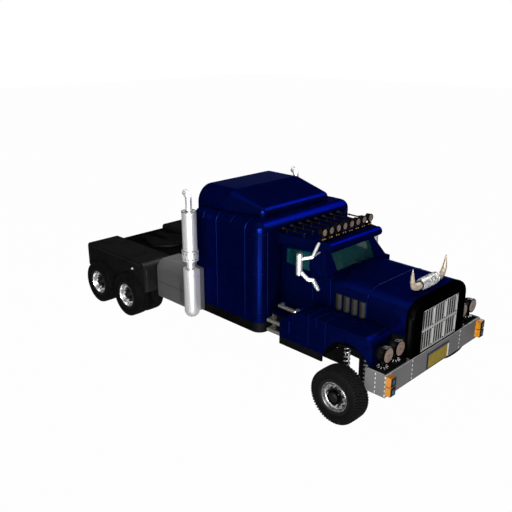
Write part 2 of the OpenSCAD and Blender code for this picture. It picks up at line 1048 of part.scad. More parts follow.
module bull_horns() {
  x = 500;
  z = hood_top + 85;
  base = 240;
  // y, z, radius along one horn
  line = [[base, z - 20, 56], [330, z - 30, 54], [415, z - 5, 48], [462, z + 75, 40],
    [478, z + 180, 26], [484, z + 290, 8]];
  color([0.8, 0.68, 0.5]) placed() both() difference() {
    for (i = [0:len(line) - 2])
      hull()
        for (p = [line[i], line[i + 1]])
          translate([x, p[0], p[1]])
            sphere(p[2], $fn = 16);
    box([x - 90, 0, z - 120], [x + 90, base, z + 80]);
  }
}

// Bumper, lamps and plate

module bumper() {
  back = 400;
  color(grey) placed() difference() {
    union() {
      difference() {
        box([back, -bumper_half, bumper_low], [bumper_front, bumper_half, bumper_top]);
        box([back - 1, skin - bumper_half, bumper_low - 1],
          [bumper_front - skin, bumper_half - skin, bumper_top + 1]);
      }
      both()
        box([bumper_front - skin, hood_half + 15, bumper_top - 40],
          [bumper_front, hood_half + 35, hinge_z + 22]);
    }
    along_y(-bumper_half - 1, bumper_half + 1)
      translate([0, axle_z])
        circle(tyre_r + 45);
    both()
      rod([hinge_x, hood_half, hinge_z], [hinge_x, hood_half + 60, hinge_z], hinge_r + 0.05);
  }
}

lamp_y = [hood_half + 135, bumper_half - 159];
lamp_z = 1275;
lamp_x = 677;

module headlamps() {
  back = lamp_x - 90;
  seat = bumper_top - 10;
  color(black) placed() both() {
    box([456, hood_half - 250, seat - 30], [bumper_front - skin, bumper_half - skin, seat]);
    for (y = lamp_y) {
      translate([back, y, lamp_z])
        rotate([0, 90, 0])
          cylinder(h = 70, r = lamp_r);
      intersection() {
        translate([back, y, lamp_z])
          sphere(lamp_r);
        box([back - lamp_r, y - lamp_r, lamp_z - lamp_r], [back, y + lamp_r, lamp_z + lamp_r]);
      }
      translate([back, y, seat])
        cylinder(h = lamp_z - seat, r = 40);
      translate([back, y, seat])
        cylinder(h = 25, r = 85);
    }
  }
}

roof_lamp_x = -1059;
roof_lamp_z = 2595;
roof_lamp_y = cab_half - 193;
roof_lamp_pitch = 2*roof_lamp_y/(roof_lamps - 1);

module lamp_lenses() {
  color([0.95, 0.9, 0.88]) placed() {
    both()
      for (y = lamp_y)
        translate([lamp_x - 20, y, lamp_z])
          rotate([0, 90, 0])
            cylinder(h = 20, r = lamp_r - 6);
    for (i = [0:roof_lamps - 1])
      translate([roof_lamp_x - 12, i*roof_lamp_pitch - roof_lamp_y, roof_lamp_z])
        rotate([0, 90, 0])
          cylinder(h = 12, r = 58);
  }
}

module roof_lamp_bar() {
  z = cab_top + cab_roof_h;
  color(black) placed() {
    box([roof_lamp_x - 60, -roof_lamp_y - 63, z], [roof_lamp_x - 20, roof_lamp_y + 63, z + 45]);
    for (i = [0:roof_lamps - 1])
      translate([0, i*roof_lamp_pitch - roof_lamp_y, 0]) {
        translate([roof_lamp_x - 82, 0, roof_lamp_z])
          rotate([0, 90, 0])
            cylinder(h = 70, r = 66);
        translate([roof_lamp_x - 40, 0, z + 45])
          cylinder(h = 60, r = 16);
      }
  }
}

module air_horns() {
  z = cab_top + cab_roof_h;
  up = 70;
  half = cab_half - 80;
  color(black) placed()
    for (i = [0:roof_lamps - 1])
      translate([0, 2*half*i/(roof_lamps - 1) - half, z]) {
        translate([-1800, 0, up])
          rotate([0, 90, 0])
            cylinder(h = 430, r = 13);
        translate([-1860, 0, up])
          rotate([0, 90, 0])
            cylinder(h = 60, r1 = 36, r2 = 13);
        for (x = [-1780, -1400])
          translate([x, 0, 0])
            cylinder(h = up, r = 10);
      }
}

module plate() {
  color([0.9, 0.8, 0.2]) placed()
    box([bumper_front, -270, 700], [bumper_front + 8, 360, 957]);
}

// Doors, hinged at their front edges

module door() {
  color(blue) placed() difference() {
    union() {
      difference() {
        intersection() {
          cab_walls();
          along_y(-cab_half - 80, 320 - cab_half)
            door_outline(panel_gap);
        }
        along_y(-cab_half - 81, 321 - cab_half)
          side_window();
      }
      for (z = hinge_zs) {
        translate([door_hinge[0], -door_hinge[1], z - 25])
          cylinder(h = 50, r = barrel_r);
        box([door_hinge[0] - 40, -door_hinge[1] - 6, z - 25],
          [door_hinge[0], -door_hinge[1] + 6, z + 25]);
        box([door_hinge[0] - 40, -door_hinge[1] - 6, z - 25],
          [door_hinge[0] - 20, 10 - cab_half, z + 25]);
      }
    }
    for (z = hinge_zs)
      translate([door_hinge[0], -door_hinge[1], z - 40])
        cylinder(h = 80, r = door_pin_r + 0.05);
  }
}

module door_right() {
  door();
}

module door_left() {
  mirror([0, 1, 0])
    door();
}

module door_glass() {
  color(glass) placed() intersection() {
    difference() {
      cab_form(18);
      cab_form(26);
    }
    along_y(-cab_half - 80, 320 - cab_half)
      side_window();
  }
}

module door_glass_right() {
  door_glass();
}

module door_glass_left() {
  mirror([0, 1, 0])
    door_glass();
}

// Round-ended bars from point to point
module links(points, r) {
  for (i = [0:len(points) - 2])
    hull()
      for (p = [points[i], points[i + 1]])
        translate(p)
          sphere(r, $fn = 20);
}

module mirror_arm() {
  head = [-1220, -cab_half - 230];
  elbow = [-1062, -cab_half - 100, 2250];
  color(chrome) placed() {
    translate([head[0], head[1], 1945])
      cylinder(h = 355, r = 50);
    links([[-1085, 76 - cab_half, 2425], elbow, [head[0], head[1], 2205]], 27);
    links([elbow, [-1108, 140 - cab_half, 2262]], 14);
    links([[-990, -cab_half - 22, 1700], [-1041, -cab_half - 92, 1862], [-1106, -cab_half - 140, 1866],
      [head[0], head[1], 2020]], 34);
  }
}

module mirror_right() {
  mirror_arm();
}

module mirror_left() {
  mirror([0, 1, 0])
    mirror_arm();
}

frame();
deck();
coupling();
engine();
front_axle();
front_springs();
rear_axles();
fuel_tanks();
stacks();
rear_fenders();
marker_lamps();
sleeper();
sleeper_roof();
cab_boot();
sills();
cab();
cab_roof();
windscreen();
dash();
seats();
front_fenders();
steps();
hood_rear();
louvres();
hood();
radiator_shell();
grille();
hood_ornament();
bull_horns();
bumper();
headlamps();
lamp_lenses();
plate();
roof_lamp_bar();
air_horns();
door_right();
door_left();
door_glass_right();
door_glass_left();
mirror_right();
mirror_left();
knuckle_right();
knuckle_left();
wheel_front_right();
wheel_front_left();
tyre_front_right();
tyre_front_left();
wheel_mid_right();
wheel_mid_left();
tyre_mid_right();
tyre_mid_left();
wheel_rear_right();
wheel_rear_left();
tyre_rear_right();
tyre_rear_left();
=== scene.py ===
"""Looks of the sleeper tractor truck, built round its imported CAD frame. Metres, +X forward, +Z up."""

import math

import bmesh
import bpy
from mathutils import Matrix, Vector


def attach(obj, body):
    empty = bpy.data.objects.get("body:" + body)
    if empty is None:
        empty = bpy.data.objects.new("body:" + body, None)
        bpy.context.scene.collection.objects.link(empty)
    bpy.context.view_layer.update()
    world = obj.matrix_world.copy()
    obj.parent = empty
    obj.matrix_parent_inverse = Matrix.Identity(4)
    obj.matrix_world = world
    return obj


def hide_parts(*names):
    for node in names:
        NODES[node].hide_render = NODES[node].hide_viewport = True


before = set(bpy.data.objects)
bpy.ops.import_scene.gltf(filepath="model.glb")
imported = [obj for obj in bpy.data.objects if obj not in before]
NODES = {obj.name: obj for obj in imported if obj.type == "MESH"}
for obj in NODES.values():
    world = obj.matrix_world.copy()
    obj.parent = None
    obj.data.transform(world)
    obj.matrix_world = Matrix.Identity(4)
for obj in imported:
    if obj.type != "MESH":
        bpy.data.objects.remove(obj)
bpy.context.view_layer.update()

# Places shared with the CAD source; lengths along X count from the front axle there.
AXLE_X = 3.168
MID_X = AXLE_X - 5.550
REAR_X = AXLE_X - 6.606
AXLE_Z = 0.45
TYRE_R = 0.45
FRONT_Y, FRONT_W = 1.469, 0.320
TWIN_Y, TWIN_W, TWIN_OFF = 1.215, 0.308, 0.183
SIDES = (("right", -1), ("left", 1))


def ax(x):
    """A length counted from the front axle, in the truck's frame."""
    return AXLE_X + x


def span(side, a, b):
    """The two Y of a strip between a and b on one side, lower one first."""
    return sorted((side * a, side * b))


def turn_of(i, n):
    """Angle of step i out of n round a circle."""
    return 2 * math.pi * i / n


# Camera: solved from the photograph's straight edges and wheel circles.
camera = bpy.data.objects.new("camera", bpy.data.cameras.new("camera"))
camera.data.sensor_width = 36
camera.data.lens = 45.15
camera.data.clip_end = 200
camera.location = (ax(5.1195), -8.3950, 5.6410)
camera.rotation_euler = (math.radians(70.7704), 0, math.radians(44.9046))
bpy.context.scene.collection.objects.link(camera)
bpy.context.scene.camera = camera
bpy.context.scene.view_settings.view_transform = "Standard"


# Materials

NOISE_LOW, NOISE_HIGH = 0.3, 0.7  # where a noise texture mostly lies
EDGE_LOW, EDGE_HIGH = 0.53, 0.62  # pointiness along an edge painted lighter, for wear and as a painted highlight
ROUGH_SWING = 0.15
GRAIN_DEPTH = 0.002
GRAIN_DETAIL = 5.0


def link(tree, a, b):
    tree.links.new(a, b)


def noise(tree, coords, scale, detail=3.0):
    n = tree.nodes.new("ShaderNodeTexNoise")
    n.inputs["Scale"].default_value = scale
    n.inputs["Detail"].default_value = detail
    link(tree, coords, n.inputs["Vector"])
    return n.outputs["Fac"]


def ranged(tree, value, low, high, start=NOISE_LOW, end=NOISE_HIGH):
    """Maps start to end onto low to high."""
    m = tree.nodes.new("ShaderNodeMapRange")
    for name, number in (("From Min", start), ("From Max", end), ("To Min", low), ("To Max", high)):
        m.inputs[name].default_value = number
    link(tree, value, m.inputs["Value"])
    return m.outputs["Result"]


def blended(tree, fac, a, b):
    """A colour between a and b, each a colour or a socket."""
    m = tree.nodes.new("ShaderNodeMix")
    m.data_type = "RGBA"
    link(tree, fac, m.inputs["Factor"])
    for name, value in (("A", a), ("B", b)):
        socket = [s for s in m.inputs if s.name == name and s.type == "RGBA"][0]
        if hasattr(value, "is_output"):
            link(tree, value, socket)
        else:
            socket.default_value = (*value, 1)
    return [s for s in m.outputs if s.type == "RGBA"][0]


def from_axis(tree, at, point, along):
    """Distance of a place from a line through point, parallel to the axis that along zeroes."""
    off = tree.nodes.new("ShaderNodeVectorMath")
    off.operation = "SUBTRACT"
    link(tree, at, off.inputs[0])
    off.inputs[1].default_value = point
    flat = tree.nodes.new("ShaderNodeVectorMath")
    flat.operation = "MULTIPLY"
    link(tree, off.outputs[0], flat.inputs[0])
    flat.inputs[1].default_value = along
    size = tree.nodes.new("ShaderNodeVectorMath")
    size.operation = "LENGTH"
    link(tree, flat.outputs[0], size.inputs[0])
    return size.outputs["Value"]


def surface(name, color, rough, vary=0.2, scale=3.0, bump=0.1, grain=90.0, edge_wear_and_highlight=None, mask=None, **sockets):
    """A procedural finish: cloudy colour, uneven roughness, fine grain, edges painted lighter for wear and as a painted
    highlight, a masked second colour.
    """
    m = bpy.data.materials.new(name)
    m.use_nodes = True
    t = m.node_tree
    b = t.nodes["Principled BSDF"]
    at = t.nodes.new("ShaderNodeTexCoord").outputs["Object"]
    dark = [c * (1 - vary) for c in color]
    light = [min(1, c * (1 + vary)) for c in color]
    tint = blended(t, ranged(t, noise(t, at, scale), 0, 1), dark, light)
    # Sharp edges are painted lighter: wear, and a painted highlight.
    if edge_wear_and_highlight:
        edge = t.nodes.new("ShaderNodeNewGeometry").outputs["Pointiness"]
        tint = blended(t, ranged(t, edge, 0, 1, EDGE_LOW, EDGE_HIGH), tint, edge_wear_and_highlight)
    if mask:
        point, along, start, end, other = mask
        tint = blended(t, ranged(t, from_axis(t, at, point, along), 0, 1, start, end), other, tint)
    link(t, tint, b.inputs["Base Color"])
    smoother, rougher = rough * (1 - ROUGH_SWING), min(1, rough * (1 + ROUGH_SWING))
    link(t, ranged(t, noise(t, at, scale * 5), smoother, rougher), b.inputs["Roughness"])
    n = t.nodes.new("ShaderNodeBump")
    n.inputs["Strength"].default_value = bump
    n.inputs["Distance"].default_value = GRAIN_DEPTH
    link(t, noise(t, at, grain, GRAIN_DETAIL), n.inputs["Height"])
    link(t, n.outputs["Normal"], b.inputs["Normal"])
    for key, value in sockets.items():
        b.inputs[key.replace("_", " ")].default_value = value
    return m


def even(v):
    """A neutral grey."""
    return (v, v, v)


NAVY = (0.0006, 0.0024, 0.032)
PAINT_ROUGH = 0.28
ARCH_X, ARCH_Z = 0.011, 0.79  # centre of the front wheel arch
ARCH = ((ax(ARCH_X), 0, ARCH_Z), (1, 0, 1))
PAINT = dict(vary=0.1, scale=1.2, bump=0.01, grain=300, Metallic=0.35, Specular_IOR_Level=0.0,
             Specular_Tint=(0.26, 0.29, 0.42, 1))
BLACK_METAL = dict(Metallic=0.4, Specular_IOR_Level=0.0, Specular_Tint=(0.05, 0.05, 0.05, 1))
METAL = dict(Specular_IOR_Level=0.1, Specular_Tint=(0.1, 0.1, 0.1, 1))
TUBE = dict(vary=0.04, bump=0.01, Metallic=0.4, Specular_IOR_Level=0.05, Specular_Tint=(0.02, 0.02, 0.02, 1))

blue = surface("blue_paint", NAVY, PAINT_ROUGH, **PAINT)
fender_blue = surface("fender_paint", NAVY, PAINT_ROUGH, mask=(*ARCH, 0.4655, 0.4665, even(0.003)), **PAINT)
# The seam lines are a lighter blue than the paint: a painted highlight along the seams.
seam_highlight_blue = surface("seam_highlight_blue", (0.0012, 0.0055, 0.06), 0.5, vary=0.2, scale=30, bump=0.05, Metallic=0.2,
                    Specular_IOR_Level=0.0)
black = surface("black_paint", (0.004, 0.004, 0.0045), 0.5, bump=0.12, grain=160, **BLACK_METAL)
gloss_black = surface("gloss_black", even(0.0012), 0.25, bump=0.02, **BLACK_METAL)
satin = surface("satin_black", (0.018, 0.018, 0.0184), 0.45, bump=0.12, grain=200, **BLACK_METAL)
rivet_grey = surface("rivet_grey", (0.045, 0.045, 0.047), 0.5, bump=0.1, **BLACK_METAL)

# The stacks are painted a darker grey on the side next to the sleeper: painted shade.
STACK_SHADE_MASK = ((0, 0, 0), (0, 1, 0), 1.325, 1.345, even(0.16))
stack_chrome_painted_shade = surface("stack_chrome_painted_shade", even(0.58), 0.32, mask=STACK_SHADE_MASK, **TUBE)
mirror_chrome = surface("mirror_chrome", even(0.5), 0.32, **TUBE)
ornament_chrome = surface("ornament_chrome", even(0.5), 0.4, vary=0.8, scale=24, bump=0.9, grain=45, Metallic=0.06,
                          **METAL)
chrome = surface("chrome", (0.4, 0.4, 0.405), 0.22, vary=0.08, bump=0.015, Metallic=0.45, **METAL)
tube_chrome = surface("tube_chrome", (0.15, 0.145, 0.125), 0.35, vary=0.15, scale=9, bump=0.02, Metallic=0.6,
                      **METAL)

# The grille is bright on its front face and dark inside.
GRILLE_MASK = ((ax(0.762), 0, 0), (1, 0, 0), 0.0215, 0.0245, even(0.5))
grille_metal = surface("grille_metal", even(0.012), 0.35, vary=0.06, bump=0.03, mask=GRILLE_MASK, Metallic=0.1,
                       **METAL)
grey = surface("grey_metal", (0.13, 0.13, 0.132), 0.45, vary=0.06, bump=0.05, grain=240, Metallic=0.12, **METAL)
white_trim = surface("white_trim", even(0.82), 0.4, vary=0.06, bump=0.03, Specular_IOR_Level=0.1)
cast = surface("cast_iron", even(0.006), 0.6, bump=0.4, grain=140, **BLACK_METAL)

# Tyres darken towards the rim, and wheels are black round the hub.
rubber, wheel_chrome = {}, {}
for place, x in (("front", AXLE_X), ("mid", MID_X), ("rear", REAR_X)):
    axle = ((x, 0, AXLE_Z), (1, 0, 1))
    # Their tread edges are painted lighter: rubber worn there and a painted highlight.
    rubber[place] = surface(f"tyre_rubber_{place}", even(0.0055), 0.75, vary=0.25, scale=8, bump=0.3, grain=260,
                            edge_wear_and_highlight=even(0.022), mask=(*axle, 0.25, 0.38, even(0.0008)), Specular_IOR_Level=0.01)
    # The mid and rear wheels take a lighter chrome than the front: painted light against the shade under the rear
    # fenders.
    rim_grey_with_painted_light = 0.3 if place == "front" else 0.48
    wheel_chrome[place] = surface(f"wheel_chrome_{place}", even(rim_grey_with_painted_light), 0.22, vary=0.4, scale=18, bump=0.05,
                                  mask=(*axle, 0.121, 0.125, even(0.0015)), Metallic=0.7, **METAL)
boot_rubber = surface("boot_rubber", even(0.006), 0.7, bump=0.3, Specular_IOR_Level=0.1)
bead_black = surface("bead_black", even(0.002), 0.6, bump=0.2, Specular_IOR_Level=0.03)
amber = surface("amber_lens", (0.75, 0.27, 0.008), 0.3, vary=0.1, bump=0.1, grain=400, Specular_IOR_Level=0.2)
signal_blue = surface("signal_rim", (0.001, 0.003, 0.008), 0.4, bump=0.05, Specular_IOR_Level=0.02)
signal_teal = surface("signal_glass", (0.01, 0.11, 0.16), 0.2, vary=0.25, bump=0.2, grain=500,
                      Specular_IOR_Level=0.1)
lens = surface("lamp_lens", (0.2, 0.138, 0.105), 0.3, vary=0.3, scale=22, bump=0.3, grain=320,
               Specular_IOR_Level=0.2)
lens_mark = surface("lens_reflector", (0.16, 0.1, 0.075), 0.4, vary=0.2, scale=25, Specular_IOR_Level=0.1)
yellow = surface("plate_yellow", (0.28, 0.2, 0.002), 0.5, vary=0.15, scale=14, bump=0.3, grain=60,
                 Specular_IOR_Level=0.1)
plate_blue = surface("plate_frame", (0.002, 0.003, 0.05), 0.35, bump=0.05, Specular_IOR_Level=0.1)
louvre = surface("louvre", (0.011, 0.0105, 0.008), 0.6, vary=0.25, bump=0.2, grain=200, Specular_IOR_Level=0.05)
horn = surface("horn", (0.5, 0.4, 0.29), 0.4, vary=0.2, scale=12, bump=0.2, grain=120, Specular_IOR_Level=0.2)
gold = surface("gold_bead", (0.5, 0.32, 0.12), 0.35, vary=0.15, bump=0.05, Metallic=0.5, Specular_IOR_Level=0.2)
leather = surface("tan_leather", (0.5, 0.32, 0.19), 0.5, vary=0.15, scale=20, bump=0.5, grain=450,
                  Specular_IOR_Level=0.2)
stitch = surface("stitch_thread", (0.62, 0.45, 0.3), 0.7, vary=0.2, scale=60, bump=0.4, grain=600)
dash_grey = surface("dash_grey", even(0.16), 0.6, vary=0.12, bump=0.4, grain=500, Specular_IOR_Level=0.1)
PANE = dict(vary=0.1, scale=2, bump=0.0, Specular_IOR_Level=0.01)
glass = surface("teal_glass", (0.012, 0.075, 0.08), 0.08, Alpha=0.5, **PANE)
side_glass = surface("side_glass", (0.008, 0.1, 0.12), 0.08, Alpha=0.6, **PANE)

FINISH = {
    blue: "sleeper sleeper_roof cab cab_roof hood_rear hood door_right door_left",
    fender_blue: "front_fenders",
    black: "frame deck front_axle rear_axles sills knuckle_right knuckle_left roof_lamp_bar air_horns headlamps",
    satin: "rear_fenders",
    gloss_black: "radiator_shell",
    stack_chrome_painted_shade: "stacks",
    mirror_chrome: "mirror_right mirror_left",
    ornament_chrome: "hood_ornament",
    tube_chrome: "steps",
    chrome: "front_springs",
    grille_metal: "grille",
    grey: "bumper fuel_tanks",
    cast: "coupling engine",
    boot_rubber: "cab_boot",
    amber: "marker_lamps",
    lens: "lamp_lenses",
    yellow: "plate",
    louvre: "louvres",
    horn: "bull_horns",
    leather: "seats",
    dash_grey: "dash",
    glass: "windscreen",
    side_glass: "door_glass_right door_glass_left",
}
for place in rubber:
    FINISH[rubber[place]] = f"tyre_{place}_right tyre_{place}_left"
    FINISH[wheel_chrome[place]] = f"wheel_{place}_right wheel_{place}_left"
for finish, names in FINISH.items():
    for node in names.split():
        NODES[node].data.materials.clear()
        NODES[node].data.materials.append(finish)


# Mesh tools: a Piece gathers geometry, then becomes one object that rides on a body.

def turned(axis):
    """Rotation that takes +Z to axis."""
    return Vector((0, 0, 1)).rotation_difference(Vector(axis).normalized()).to_matrix()


class Piece:
    def __init__(self, name):
        self.name = name
        self.bm = bmesh.new()

    def grid(self, rows, close_u=False, close_v=False):
        """Faces between rows of points; close_u joins the last row to the first, close_v each row's ends."""
        verts = [[self.bm.verts.new(p) for p in row] for row in rows]
        nu, nv = len(rows), len(rows[0])
        for i in range(nu if close_u else nu - 1):
            for j in range(nv if close_v else nv - 1):
                a, b = verts[i], verts[(i + 1) % nu]
                k = (j + 1) % nv
                self.bm.faces.new((a[j], a[k], b[k], b[j]))
        return verts

    def box(self, lo, hi, bevel=0.003):
        """A block between two corners, with its edges eased."""
        made = bmesh.ops.create_cube(self.bm, size=1)["verts"]
        for v in made:
            v.co = Vector([(lo[i] + hi[i]) / 2 + v.co[i] * (hi[i] - lo[i]) for i in range(3)])
        edges = list({e for v in made for e in v.link_edges})
        bmesh.ops.bevel(self.bm, geom=edges, offset=bevel, segments=2, affect="EDGES")

    def lathe(self, profile, at, axis, n=48):
        """Turns (radius, height) points round axis through at; ends on the axis are closed."""
        turn, at = turned(axis), Vector(at)
        rows = []
        for i in range(n):
            a = turn_of(i, n)
            rows.append([at + turn @ Vector((r * math.cos(a), r * math.sin(a), h)) for r, h in profile])
        self.grid(rows, close_u=True)

    def ring(self, at, axis, r, wire, n=40):
        """A closed ring of round wire."""
        section = [(r + wire * math.cos(k * math.pi / 4), wire * math.sin(k * math.pi / 4)) for k in range(8)]
        self.lathe(section + section[:1], at, axis, n)

    def dome(self, at, axis, r, h, n=10):
        """A low rounded head, such as a rivet or bolt."""
        self.lathe([(r, -0.002), (r, h * 0.35), (r * 0.7, h * 0.85), (0, h)], at, axis, n)

    def plate(self, outline, y0, y1):
        """A flat upright plate: an outline of (x, z) points between two Y."""
        near = [self.bm.verts.new((x, y0, z)) for x, z in outline]
        far = [self.bm.verts.new((x, y1, z)) for x, z in outline]
        self.bm.faces.new(near)
        self.bm.faces.new(far[::-1])
        for i in range(len(outline)):
            k = (i + 1) % len(outline)
            self.bm.faces.new((near[k], near[i], far[i], far[k]))

    def tube(self, points, r, n=14):
        """Round tube through points; r is one radius or one per point."""
        pts = [Vector(p) for p in points]
        radii = r if hasattr(r, "__len__") else [r] * len(pts)
        side = None
        rows = []
        for i, p in enumerate(pts):
            along = (pts[min(i + 1, len(pts) - 1)] - pts[max(i - 1, 0)]).normalized()
            if side is None:
                side = along.orthogonal().normalized()
            side = (side - along * side.dot(along)).normalized()
            up = along.cross(side)
            circle = [turn_of(k, n) for k in range(n)]
            rows.append([p + radii[i] * (side * math.cos(a) + up * math.sin(a)) for a in circle])
        verts = self.grid(rows, close_v=True)
        self.bm.faces.new(verts[0])
        self.bm.faces.new(verts[-1][::-1])

    def done(self, body, material, slot, sharp=35, replaces=()):
        """Makes the object and hands it to the frame."""
        bmesh.ops.remove_doubles(self.bm, verts=self.bm.verts, dist=1e-6)
        bmesh.ops.recalc_face_normals(self.bm, faces=self.bm.faces)
        mesh = bpy.data.meshes.new(self.name)
        self.bm.to_mesh(mesh)
        self.bm.free()
        mesh.polygons.foreach_set("use_smooth", [True] * len(mesh.polygons))
        mesh.set_sharp_from_angle(angle=math.radians(sharp))
        mesh.materials.append(material)
        obj = bpy.data.objects.new(self.name, mesh)
        bpy.context.scene.collection.objects.link(obj)
        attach(obj, body)
        if replaces:
            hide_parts(*replaces)
        return obj


# Tyres: ribs and blocks round the tread, smooth walls, a black bead over the rim flange.

PITCHES = 60
STEPS = (-0.24, -0.20, 0.20, 0.24, 0.26, 0.30, 0.70, 0.74)
LOW_A = (1, 2)  # steps that are cut in the odd and in the even ribs
LOW_B = (5, 6)
GROOVE = 0.023
CROWN = 0.006
TREAD_SHARE = 0.82  # of the half width
RIB_GAP = 0.14  # of a rib's width, with the groove's wall at 0.6 of the gap
GAP_WALL = 0.6
# Radii, each with its share of the half width.
WALL = [(0.244, 0.80), (0.252, 0.865), (0.270, 0.90), (0.292, 0.925), (0.315, 0.965), (0.345, 0.995),
        (0.375, 1.0), (0.400, 0.98)]
SHOULDER = [(0.414, 0.962), (0.430, 0.925), (0.442, 0.875)]
BEAD = [(0.238, 0.78), (0.240, 0.84), (0.246, 0.885), (0.262, 0.915), (0.284, 0.93), (0.292, 0.92)]


def tread_columns(half, ribs):
    """Points across the tread: (place, which pattern cuts it, depth of the rib groove)."""
    cols = []
    width = 2 * TREAD_SHARE * half / ribs
    gap = RIB_GAP * width
    for k in range(ribs):
        a = -TREAD_SHARE * half + k * width
        pattern = "AB"[k % 2]
        if k > 0:
            cols.append((a + gap * GAP_WALL, None, GROOVE))
        cols.append((a + gap, pattern, 0))
        cols.append((a + width - gap, pattern, 0))
        if k < ribs - 1:
            cols.append((a + width - gap * GAP_WALL, None, GROOVE))
    return cols


def add_tyre(piece, at, side, width, ribs):
    """One tyre: sections from wall to wall, turned round the axle."""
    half = width / 2
    cols = tread_columns(half, ribs)
    turn = turned((0, side, 0))
    at = Vector(at)
    rows = []
    for p in range(PITCHES):
        for s, step in enumerate(STEPS):
            a = turn_of(p + step, PITCHES)
            cut = [GROOVE if s in low else 0 for low in (LOW_A, LOW_A if ribs % 2 else LOW_B)]
            line = [(r, -half * h) for r, h in WALL] + [(r - cut[0], -half * h) for r, h in SHOULDER]
            for z, pattern, depth in cols:
                low = (pattern == "A" and s in LOW_A) or (pattern == "B" and s in LOW_B)
                crown = CROWN * (z / half) ** 2
                line.append((TYRE_R - crown - depth - (GROOVE if low else 0), z))
            line += [(r - cut[1], half * h) for r, h in reversed(SHOULDER)]
            line += [(r, half * h) for r, h in reversed(WALL)]
            rows.append([at + turn @ Vector((r * math.cos(a), r * math.sin(a), z)) for r, z in line])
    piece.grid(rows, close_u=True)


def add_bead(piece, at, side, width):
    """The black ring that lies over the rim flange."""
    piece.lathe([(r, share * width / 2) for r, share in BEAD], at, (0, side, 0), n=72)


# Place, X, Y, tyre width, ribs, offsets of the tyres on one wheel.
WHEELS = [("front", AXLE_X, FRONT_Y, FRONT_W, 5, (0,)),
          ("mid", MID_X, TWIN_Y, TWIN_W, 6, (-TWIN_OFF, TWIN_OFF)),
          ("rear", REAR_X, TWIN_Y, TWIN_W, 6, (-TWIN_OFF, TWIN_OFF))]
LUGS, LUG_R, HOLE_R = 10, 0.142, 0.172
NUT = [(0.021, 0), (0.021, 0.006), (0.016, 0.008), (0.016, 0.030), (0.011, 0.034), (0.009, 0.046), (0, 0.047)]

for place, x, y, width, ribs, offsets in WHEELS:
    for name, side in SIDES:
        body = f"wheel_{place}_{name}"
        tyre = Piece(f"tread_{place}_{name}")
        bead = Piece(f"bead_{place}_{name}")
        for off in offsets:
            add_tyre(tyre, (x, side * (y + off), AXLE_Z), side, width, ribs)
        add_bead(bead, (x, side * (y + offsets[-1]), AXLE_Z), side, width)
        tyre.done(body, rubber[place], "tyre", sharp=30, replaces=(f"tyre_{place}_{name}",))
        bead.done(body, bead_black, "tyre")

        # Rim lip, dish step, hub and lug nuts on the outer face.
        out = Vector((0, side, 0))
        centre = Vector((x, side * y, AXLE_Z))
        lip_h = offsets[-1] + width * 0.36 + 0.012
        face = 0.086 if place == "front" else lip_h - 0.085
        rim = Piece(f"rim_{place}_{name}")
        dish = [(0.248, lip_h - 0.03), (0.238, lip_h - 0.012), (0.240, lip_h + 0.004), (0.233, lip_h + 0.006),
                (0.226, lip_h - 0.006), (0.219, lip_h - 0.04), (0.212, face + 0.05), (0.200, face + 0.012),
                (0.186, face + 0.002)]
        if place != "front":
            dish.append((0.120, face))
        rim.lathe(dish, centre, out, n=72)
        rim.done(body, wheel_chrome[place], "chrome")
        hub_z = 0.150 if place == "front" else lip_h - 0.025
        hub = Piece(f"hub_{place}_{name}")
        hub.lathe([(0.128, face), (0.128, face + 0.010), (0.100, face + 0.014), (0.094, hub_z - 0.030),
                   (0.086, hub_z - 0.004), (0.060, hub_z + 0.010), (0.052, hub_z + 0.026), (0.0, hub_z + 0.030)],
                  centre, out, n=40)
        turn = turned(out)
        for i in range(LUGS):
            a = turn_of(i + 0.5, LUGS)
            seat = centre + turn @ Vector((LUG_R * math.cos(a), LUG_R * math.sin(a), face))
            hub.lathe(NUT, seat, out, n=6)
            if place != "front":
                hole = centre + turn @ Vector((HOLE_R * math.cos(a), HOLE_R * math.sin(a), face + 0.001))
                hub.dome(hole, out, 0.012, 0.002, 12)
        hub.done(body, bead_black, "black_paint", sharp=30)


# Coil springs on the front axle, with their seats and the arms that hold them to the frame.

coils = Piece("coil_springs")
spring_arms = Piece("spring_arms")
TURNS, TURN_STEPS = 7, 16
SPRING_X, SPRING_Y = 0.19, 1.055
COIL_R, COIL_LOW, COIL_RISE, WIRE_R = 0.044, 0.522, 0.508, 0.012
for _, side in SIDES:
    for x in (-SPRING_X, SPRING_X):
        path = []
        for i in range(TURNS * TURN_STEPS + 1):
            a = turn_of(i, TURN_STEPS)
            path.append((ax(x) + COIL_R * math.cos(a), side * SPRING_Y + COIL_R * math.sin(a),
                         COIL_LOW + COIL_RISE * i / (TURNS * TURN_STEPS)))
        coils.tube(path, WIRE_R, n=8)
        foot = (ax(x), side * SPRING_Y, 0)
        spring_arms.lathe([(0.028, 0.511), (0.028, 0.80), (0.020, 0.802), (0.020, 1.04)], foot, (0, 0, 1), n=12)
        for z in (0.511, 1.028):
            spring_arms.lathe([(0, z), (0.060, z), (0.060, z + 0.008), (0.030, z + 0.011), (0, z + 0.011)],
                              foot, (0, 0, 1), n=20)
    y0, y1 = span(side, 0.432, 1.115)
    spring_arms.box((ax(-0.27), y0, 1.040), (ax(0.27), y1, 1.060))
    y0, y1 = span(side, 0.432, 0.450)
    spring_arms.box((ax(-0.27), y0, 0.830), (ax(0.27), y1, 1.040))
coils.done("chassis", chrome, "grey_metal", replaces=("front_springs",))
spring_arms.done("chassis", black, "black_paint", replaces=("front_springs",))


# Splash walls inside the front wheel arches, open between the springs, and backs behind the steps.

